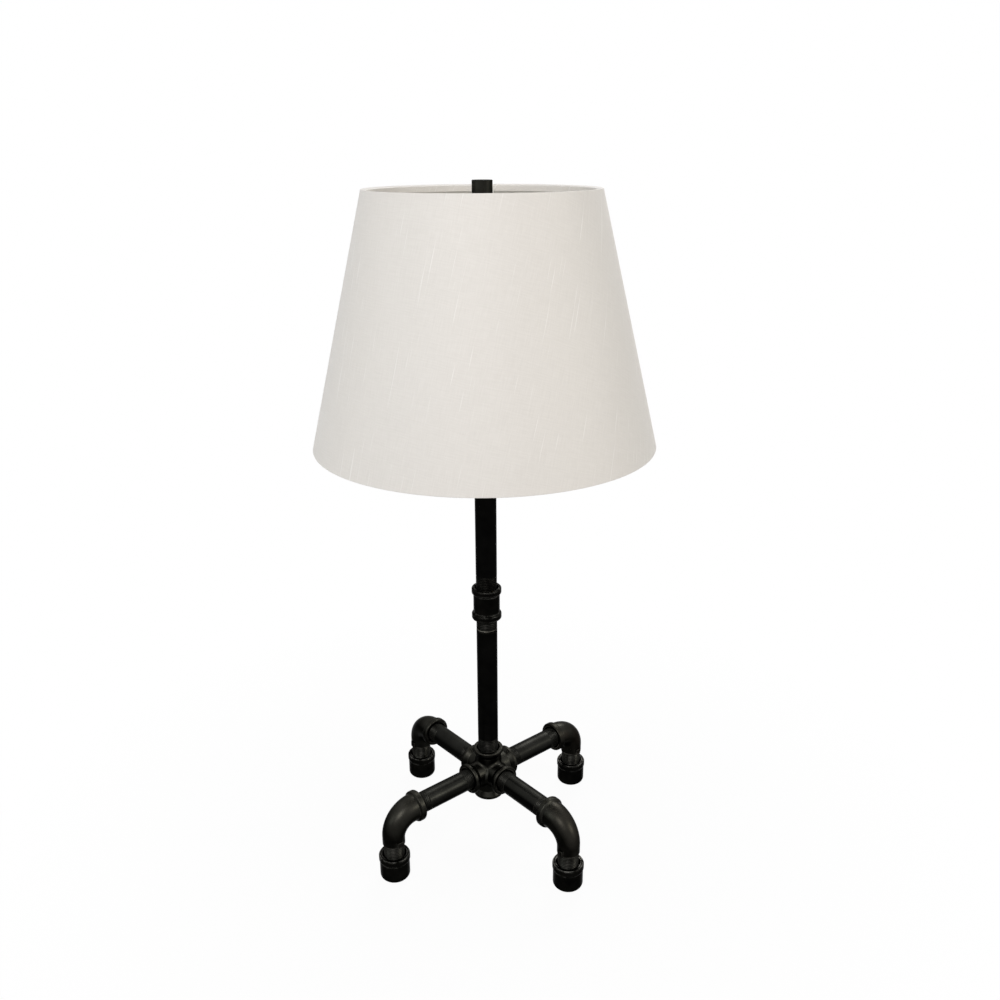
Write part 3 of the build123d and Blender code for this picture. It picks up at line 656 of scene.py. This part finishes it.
def copy_of(piece):
    """Copy of a piece, with its own mesh."""
    only(piece)
    bpy.ops.object.duplicate(linked=False)
    return bpy.context.active_object


def settle(piece, name, body, slot, finish, *nodes):
    """Name a finished piece, give it its finish and body, and hide the nodes it stands for."""
    only(piece)
    apply_place()
    bpy.ops.object.shade_smooth_by_angle(angle=SMOOTH_ANGLE)
    piece.name = name
    piece.data.name = name
    piece.data.materials.clear()
    piece.data.materials.append(bpy.data.materials[finish_name(finish)])
    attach(piece, body)
    if nodes:
        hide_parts(*nodes)


# Threads
def thread_ridge(crest, depth, pitch, run, steps):
    """Ridge of a thread wound up Z from the origin, half of it sunk in the bar that carries it."""
    clear_selection()
    root = crest - depth
    bpy.ops.mesh.primitive_circle_add(
        vertices=4, radius=1, location=(root, 0, 0), rotation=(pi / 2, 0, 0), enter_editmode=False
    )
    ridge = bpy.context.active_object
    edit(ridge, "VERT")
    bpy.ops.mesh.select_all(action="SELECT")
    foot_share = 0.44
    bpy.ops.transform.resize(value=(depth, 1, foot_share * pitch), center_override=(root, 0, 0))
    bpy.ops.object.mode_set(mode="OBJECT")
    apply_place()
    wound = ridge.modifiers.new("wound", "SCREW")
    wound.axis = "Z"
    wound.angle = 2 * pi * run / pitch
    wound.screw_offset = run
    wound.steps = wound.render_steps = int(steps * run / pitch)
    wound.use_merge_vertices = False
    apply_modifiers(ridge)
    edit(ridge, "EDGE")
    bpy.ops.mesh.select_non_manifold(extend=False, use_wire=False, use_boundary=True, use_multi_face=False)
    bpy.ops.mesh.fill_holes(sides=4)
    bpy.ops.object.mode_set(mode="OBJECT")
    tidy_normals(ridge)
    return ridge


def pipe_threads(settings, *runs):
    """Threads of a pipe that stands on Z, each from its start to its end, as one object."""
    ridges = []
    for start, end in runs:
        ridge = thread_ridge(pipe_radius, settings.pipe_depth, settings.pipe_pitch, end - start, settings.steps)
        lay_out(ridge, (0, 0, start))
        ridges.append(ridge)
    return join(ridges)


class LAMP_OT_post_threads(bpy.types.Operator):
    """Cut the threads that show at the ends of the two post pipes"""

    bl_idname = "lamp.post_threads"
    bl_label = "Post threads"

    def execute(self, context):
        settings = context.scene.lamp_threads
        cross_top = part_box("centre_cross")[1].z
        coupling_low, coupling_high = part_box("post_coupling")
        cap_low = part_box("post_top_cap")[0].z
        upper_low, upper_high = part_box("upper_post_pipe")
        lower = pipe_threads(
            settings,
            (cross_top - settings.mouth_depth, pipe_low.z + settings.pipe_length),
            (pipe_high.z - settings.pipe_length, coupling_low.z + settings.mouth_depth),
        )
        settle(lower, "threads_lower_post_pipe", "stand", "black_pipe", "post_thread")
        upper = pipe_threads(
            settings,
            (coupling_high.z - settings.mouth_depth, upper_low.z + settings.pipe_length),
            (upper_high.z - settings.pipe_length, cap_low + settings.mouth_depth),
        )
        settle(upper, "threads_upper_post_pipe", "stand", "black_pipe", "black_pipe")
        return {"FINISHED"}


class LAMP_OT_leg_threads(bpy.types.Operator):
    """Cut the threads that show on the leg pipes and under the elbows"""

    bl_idname = "lamp.leg_threads"
    bl_label = "Leg threads"

    def execute(self, context):
        settings = context.scene.lamp_threads
        cross_low, cross_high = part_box("centre_cross")
        axis_z = (cross_low.z + cross_high.z) / 2
        leg, neck = self.first_leg(settings, cross_high.z - axis_z)
        for name, bearing in leg_bearings.items():
            ridges = copy_of(leg)
            lay_out(ridges, (0, 0, axis_z), (0, pi / 2, bearing))
            settle(ridges, "threads_leg_" + name, "stand", "black_pipe", "leg_pipe")
            cap_low, cap_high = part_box("foot_cap_" + name)
            middle = (cap_low + cap_high) / 2
            ridge = copy_of(neck)
            lay_out(ridge, (middle.x, middle.y, 0))
            settle(ridge, "threads_elbow_" + name, "stand", "cast_fitting", "neck_thread")
        for pattern in (leg, neck):
            only(pattern)
            bpy.ops.object.delete()
        return {"FINISHED"}

    def first_leg(self, settings, cross_reach):
        """Threads of one leg pipe and of one elbow's neck, both on Z, to be copied."""
        name, bearing = next(iter(leg_bearings.items()))
        outward = Vector((cos(bearing), sin(bearing), 0))

        def reaches(kind):
            """How far each point of the leg's piece lies from the post."""
            return [v.co.dot(outward) for v in frame["nodes"][kind + name].data.vertices]

        pipe = reaches("leg_pipe_")
        mouth = min(reaches("leg_elbow_"))
        leg = pipe_threads(
            settings,
            (cross_reach - settings.mouth_depth, min(pipe) + settings.pipe_length),
            (max(pipe) - settings.pipe_length, mouth + settings.mouth_depth),
        )
        cap_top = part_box("foot_cap_" + name)[1].z
        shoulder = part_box("leg_elbow_" + name)[0].z + settings.neck_length
        return leg, pipe_threads(settings, (cap_top - settings.mouth_depth, shoulder))


class LAMP_OT_stud_thread(bpy.types.Operator):
    """Cut the thread of the harp stud, which shows when the finial is off"""

    bl_idname = "lamp.stud_thread"
    bl_label = "Stud thread"

    def execute(self, context):
        settings = context.scene.lamp_threads
        hub_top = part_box("finial")[0].z
        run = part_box("harp_stud")[1].z - hub_top
        ridge = thread_ridge(
            settings.stud_radius, settings.stud_depth, settings.stud_pitch, run, settings.steps
        )
        lay_out(ridge, (0, 0, hub_top))
        settle(ridge, "thread_harp_stud", "stand", "nickel_steel", "nickel_steel")
        return {"FINISHED"}


class LAMP_OT_bulb_base(bpy.types.Operator):
    """Roll the screw base of the bulb"""

    bl_idname = "lamp.bulb_base"
    bl_label = "Bulb base"

    def execute(self, context):
        settings = context.scene.lamp_threads
        low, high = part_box("bulb_base")
        crest = (high.x - low.x) / 2
        pitch = settings.bulb_pitch
        half_depth = settings.bulb_depth / 2
        wave_points = 12
        spare_turns = 3
        clear_selection()
        bpy.ops.mesh.primitive_grid_add(
            x_subdivisions=wave_points, y_subdivisions=1, size=1, location=(0, 0, 0), enter_editmode=False
        )
        sheet = bpy.context.active_object
        edit(sheet, "VERT")
        pick(sheet, "verts", lambda spot: spot.co.y > 0)
        bpy.ops.mesh.delete(type="VERT")
        bpy.ops.object.mode_set(mode="OBJECT")
        # The edge that is left becomes the wave of one turn
        for spot in sheet.data.vertices:
            turned = spot.co.x + 1 / 2
            spot.co = (crest - half_depth + half_depth * cos(2 * pi * turned), 0, pitch * turned)
        wound = sheet.modifiers.new("wound", "SCREW")
        wound.axis = "Z"
        wound.screw_offset = pitch
        wound.iterations = int((high.z - low.z) / pitch) + spare_turns
        wound.steps = wound.render_steps = settings.steps
        apply_modifiers(sheet)
        lay_out(sheet, (0, 0, low.z - pitch * spare_turns / 2))
        tidy_normals(sheet)
        for height, outside in ((low.z, (0, 0, -1)), (high.z, (0, 0, 1))):
            edit(sheet, "VERT")
            bpy.ops.mesh.select_all(action="SELECT")
            bpy.ops.mesh.bisect(plane_co=(0, 0, height), plane_no=outside, clear_outer=True, use_fill=True)
            bpy.ops.object.mode_set(mode="OBJECT")
        tidy_normals(sheet)
        settle(sheet, "bulb_screw_base", "bulb", "bulb_metal", "bulb_metal", "bulb_base")
        return {"FINISHED"}


# Shade
def wrapped(turn):
    """Angle brought to within half a turn of nothing."""
    return (turn + pi) % (2 * pi) - pi


class LAMP_OT_shade_cover(bpy.types.Operator):
    """Stretch the cloth over the shade, turn it in at both rims and lap it at the back"""

    bl_idname = "lamp.shade_cover"
    bl_label = "Shade cover"

    def execute(self, context):
        settings = context.scene.lamp_shade
        top, bottom = self.liner_rims()
        (top_radius, top_z), (bottom_radius, bottom_z) = top, bottom
        wall = Vector((bottom_radius - top_radius, bottom_z - top_z))
        down = wall.normalized()
        upper = self.rolled(settings, top, down, 1)
        lower = self.rolled(settings, bottom, down, -1)
        cover = self.stretched(settings, upper, lower)
        self.lay_flat(cover, settings, top, down)
        lap = self.lapped_seam(cover, settings)
        cloth = settings.thickness
        for piece, thickness in ((cover, cloth), (lap, cloth * settings.lap_share)):
            thick = piece.modifiers.new("thick", "SOLIDIFY")
            thick.thickness = thickness
            thick.offset = -1
            apply_modifiers(piece)
        settle(cover, "shade_cover", "shade", "shade_cloth", "shade_cloth", "shade_fabric")
        settle(lap, "shade_lap", "shade", "shade_cloth", "shade_cloth")

        # The cone unrolls to the sector of a ring
        return {"FINISHED"}

    def liner_rims(self):
        """Outer radius and height of the liner's top rim and of its bottom rim."""
        spots = [(hypot(v.co.x, v.co.y), v.co.z) for v in frame["nodes"]["shade_liner"].data.vertices]
        top_z = max(z for _, z in spots)
        top_radius = max(radius for radius, z in spots if z > top_z - RIM_TOLERANCE)
        bottom_radius = max(radius for radius, _ in spots)
        bottom_z = max(z for radius, z in spots if radius > bottom_radius - RIM_TOLERANCE)
        return (top_radius, top_z), (bottom_radius, bottom_z)

    def rolled(self, settings, rim, down, way):
        """Points of the cloth round a rim, from its outside to the end of the turn-in.

        The way is 1 where the wall runs down from the rim, and -1 where it runs up.
        """
        cloth = settings.thickness
        outward = Vector((-down.y, down.x))
        ring_low, ring_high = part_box("shade_top_ring")
        inside = settings.liner + (ring_high.z - ring_low.z) + settings.rim_room

        def at(distance, depth):
            """Point so far down the wall from the rim, so deep inside the liner's outer face."""
            return Vector(rim) + distance * down - depth * outward

        roll_steps = 6
        bends = [pi / 2 * step / roll_steps for step in range(roll_steps + 1)]
        points = [at(-way * cloth * sin(bend), -cloth * cos(bend)) for bend in bends]
        points += [at(-way * cloth * cos(bend), inside + cloth * sin(bend)) for bend in bends]
        points.append(at(way * settings.turn_in, inside + cloth))
        return points

    def stretched(self, settings, upper, lower):
        """Cone of cloth between the rims, which runs on over both of them."""
        clear_selection()
        top, bottom = upper[0], lower[0]
        bpy.ops.mesh.primitive_cone_add(
            vertices=settings.segments, radius1=bottom.x, radius2=top.x, depth=top.y - bottom.y,
            end_fill_type="NOTHING", location=(0, 0, (top.y + bottom.y) / 2), enter_editmode=False
        )
        cover = bpy.context.active_object
        apply_place()
        for points in (upper, lower):
            edit(cover, "EDGE")
            level = points[0].y
            pick(cover, "edges", lambda line: all(abs(v.co.z - level) < LEVEL_TOLERANCE for v in line.verts))
            for last, spot in zip(points, points[1:]):
                bpy.ops.mesh.extrude_region_move(TRANSFORM_OT_translate={"value": (0, 0, spot.y - last.y)})
                grow = spot.x / last.x
                bpy.ops.transform.resize(value=(grow, grow, 1), center_override=(0, 0, spot.y))
            bpy.ops.object.mode_set(mode="OBJECT")
        tidy_normals(cover)
        return cover

    def lay_flat(self, cover, settings, top, down):
        """Give the cloth the coordinates of its flat cut, in metres."""
        mesh = cover.data
        cut = mesh.uv_layers.new(name="flat_cut")
        top_radius, top_z = top
        inner_cut = top_radius / down.x
        for face in mesh.polygons:
            facing = atan2(face.center.y, face.center.x)
            for corner in face.loop_indices:
                spot = mesh.vertices[mesh.loops[corner].vertex_index].co
                spread = wrapped(facing - settings.cut_turn) + wrapped(atan2(spot.y, spot.x) - facing)
                reach = inner_cut + (top_z - spot.z) / -down.y
                lean = spread * down.x
                cut.data[corner].uv = (reach * sin(lean), -reach * cos(lean))

    def lapped_seam(self, cover, settings):
        """Copy a narrow strip of the wall at the back and lift it, as the cloth's lap."""
        edit(cover, "FACE")
        wall_height = 100 * MM

        def in_lap(face):
            """Tell a tall face of the wall, near the middle of the back."""
            middle = face.calc_center_median()
            heights = [v.co.z for v in face.verts]
            tall = max(heights) - min(heights) > wall_height
            return tall and middle.y > 0 and abs(middle.x) < settings.lap / 2

        pick(cover, "faces", in_lap)
        bpy.ops.mesh.duplicate()
        bpy.ops.transform.shrink_fatten(value=settings.lap_lift)
        bpy.ops.mesh.separate(type="SELECTED")
        bpy.ops.object.mode_set(mode="OBJECT")
        strips = [item for item in bpy.context.selected_objects if item is not cover]
        return strips[0]


# Place, size and tint of the soft lamps
stage_lamps = {
    "key": ((-0.3, -1.65, 1.6), 0.9, (1.0, 0.985, 0.975)),
    "left": ((-1.75, -1.1, 1.2), 1.2, (0.93, 1.0, 0.97)),
    "right": ((1.9, -0.7, 1.1), 0.65, (1.0, 0.975, 0.87)),
    "back": ((0.45, 1.6, 1.6), 0.9, (1.0, 0.99, 0.98)),
}


class LAMP_OT_stage(bpy.types.Operator):
    """Set up the pale floor, the soft lamps and the camera"""

    bl_idname = "lamp.stage"
    bl_label = "Stage"

    def execute(self, context):
        settings = context.scene.lamp_stage
        context.scene.view_settings.view_transform = "Standard"
        self.add_floor(settings)
        self.add_room(settings)
        for name, (place, size, tint) in stage_lamps.items():
            lamp = self.add_lamp("lamp_" + name, size, getattr(settings, name + "_power"), tint)
            aim = Vector((0, 0, settings.aim_height)) - Vector(place)
            turn = aim.to_track_quat("-Z", "Y").to_matrix().to_4x4()
            lamp.matrix_world = Matrix.Translation(place) @ turn
        self.add_camera(settings)
        return {"FINISHED"}

    def add_floor(self, settings):
        """Round floor that fades to plain white away from the lamp."""
        clear_selection()
        bpy.ops.mesh.primitive_circle_add(
            vertices=96, radius=settings.floor_radius, fill_type="NGON", location=(0, 0, 0)
        )
        floor = bpy.context.active_object
        floor.name = "studio_floor"
        material = bpy.data.materials.new("studio_floor")
        material.use_nodes = True
        tree = material.node_tree
        tree.nodes.clear()
        pale = fill(node(tree, "ShaderNodeBsdfDiffuse"), Color=settings.floor)
        white = fill(node(tree, "ShaderNodeEmission"), Color=WHITE, Strength=1.0)
        away = node(tree, "ShaderNodeVectorMath", operation="LENGTH")
        tree.links.new(object_place(tree), away.inputs[0])
        fade = map_range(
            tree, away.outputs["Value"], settings.fade_start, settings.fade_end, settings.floor_glow, 1.0
        )
        glow = product(tree, self.seen_directly(tree), fade)
        self.blend(tree, glow, pale, white, "ShaderNodeOutputMaterial")
        floor.data.materials.append(material)

    def add_room(self, settings):
        """Even light from all round, with a backdrop that is seen as white."""
        room = bpy.data.worlds.new("studio_room")
        bpy.context.scene.world = room
        room.use_nodes = True
        tree = room.node_tree
        tree.nodes.clear()
        even = fill(node(tree, "ShaderNodeBackground"), Color=settings.room_tint, Strength=settings.room)
        white = fill(node(tree, "ShaderNodeBackground"), Color=WHITE, Strength=1.0)
        self.blend(tree, self.seen_directly(tree), even, white, "ShaderNodeOutputWorld")

    def seen_directly(self, tree):
        """One where a ray comes from the camera, a reflection or clear glass."""
        light = node(tree, "ShaderNodeLightPath")
        seen = arithmetic(tree, "MAXIMUM", light.outputs["Is Camera Ray"], light.outputs["Is Glossy Ray"])
        return arithmetic(tree, "MAXIMUM", seen, light.outputs["Is Transmission Ray"])

    def blend(self, tree, amount, plain, white, end):
        """Mix a plain shader with white and put it out."""
        mixed = node(tree, "ShaderNodeMixShader")
        tree.links.new(amount, mixed.inputs["Fac"])
        tree.links.new(plain.outputs[0], mixed.inputs[1])
        tree.links.new(white.outputs[0], mixed.inputs[2])
        tree.links.new(mixed.outputs["Shader"], node(tree, end).inputs["Surface"])

    def add_lamp(self, name, size, power, tint):
        """Square soft lamp."""
        data = bpy.data.lights.new(name, "AREA")
        data.size = size
        data.energy = power
        data.color = tint
        lamp = bpy.data.objects.new(name, data)
        bpy.context.scene.collection.objects.link(lamp)
        return lamp

    def add_camera(self, settings):
        """Camera at the photograph's place, with no depth of field."""
        data = bpy.data.cameras.new("studio_camera")
        data.sensor_width = settings.sensor
        data.sensor_height = settings.sensor
        data.lens = settings.lens
        camera = bpy.data.objects.new("studio_camera", data)
        bpy.context.scene.collection.objects.link(camera)
        turn = Matrix.Rotation(settings.camera_turn, 4, "Z")
        tilt = Matrix.Rotation(pi / 2 - settings.camera_tilt, 4, "X")
        roll = Matrix.Rotation(settings.camera_roll, 4, "Z")
        camera.matrix_world = Matrix.Translation(settings.camera_place) @ turn @ tilt @ roll
        bpy.context.scene.camera = camera


class LAMP_PT_panel(bpy.types.Panel):
    """Steps and settings of the pipe lamp"""

    bl_idname = "LAMP_PT_panel"
    bl_label = "Pipe Lamp"
    bl_space_type = "VIEW_3D"
    bl_region_type = "UI"
    bl_category = "Pipe Lamp"

    def draw(self, context):
        for step in steps:
            self.layout.operator(step.bl_idname)
        for name, group in setting_groups.items():
            box = self.layout.box()
            box.label(text=group.__doc__)
            settings = getattr(context.scene, name)
            for title in group.__annotations__:
                box.prop(settings, title)


setting_groups = {
    "lamp_threads": LampThreadSettings,
    "lamp_iron": LampIronSettings,
    "lamp_shade": LampShadeSettings,
    "lamp_stage": LampStageSettings,
}
steps = [
    LAMP_OT_stage,
    LAMP_OT_finishes,
    LAMP_OT_post_threads,
    LAMP_OT_leg_threads,
    LAMP_OT_stud_thread,
    LAMP_OT_bulb_base,
    LAMP_OT_shade_cover,
]


def register():
    """Make the settings, the steps and the panel known."""
    for name, group in setting_groups.items():
        bpy.utils.register_class(group)
        setattr(bpy.types.Scene, name, PointerProperty(type=group))
    for part in [*steps, LAMP_PT_panel]:
        bpy.utils.register_class(part)


def unregister():
    """Take the panel, the steps and the settings away again."""
    for part in [LAMP_PT_panel, *reversed(steps)]:
        bpy.utils.unregister_class(part)
    for name, group in setting_groups.items():
        delattr(bpy.types.Scene, name)
        bpy.utils.unregister_class(group)


def main():
    """Run every step."""
    register()
    bpy.ops.lamp.stage()
    bpy.ops.lamp.finishes()
    bpy.ops.lamp.post_threads()
    bpy.ops.lamp.leg_threads()
    bpy.ops.lamp.stud_thread()
    bpy.ops.lamp.bulb_base()
    bpy.ops.lamp.shade_cover()


if __name__ == "__main__":
    main()
